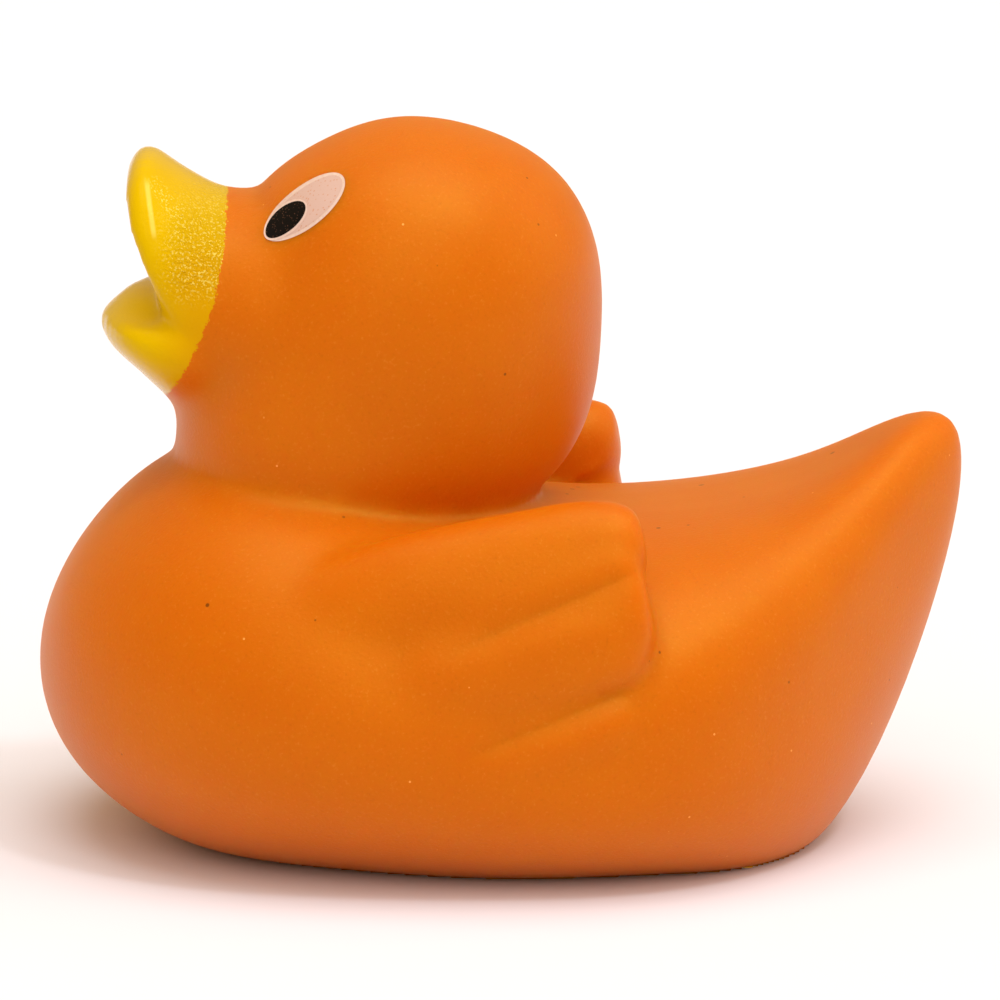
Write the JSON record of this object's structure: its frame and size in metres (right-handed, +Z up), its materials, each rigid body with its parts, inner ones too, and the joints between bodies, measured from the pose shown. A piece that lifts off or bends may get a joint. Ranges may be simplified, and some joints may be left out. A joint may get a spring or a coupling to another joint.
{
  "type": "rubber duck",
  "caption": "Squeaking bath duck moulded in soft orange vinyl, with a round head, an open yellow bill, printed eyes, small raised wings, an upturned tail and a flat base with a squeaker",
  "frame": {"origin": "centre of the footprint box, on the plane that the flat base stands on", "axes": "+X runs from the bill to the tail along the length, so the duck faces -X; +Y is the duck's right side; +Z is up"},
  "size_m": [0.0851, 0.065, 0.0661],
  "materials": {
    "body_vinyl": "satin orange soft vinyl, the bill in gloss yellow paint and the eyes printed in pinkish white and black",
    "squeaker_plastic": "matte white",
    "holder_plastic": "satin off-white",
    "reed_plastic": "thin smooth film"
  },
  "bodies": {
    "root": {"body": "body_vinyl", "squeaker_housing": "squeaker_plastic", "reed_holder": "holder_plastic", "reed": "reed_plastic"}
  },
  "joints": []
}
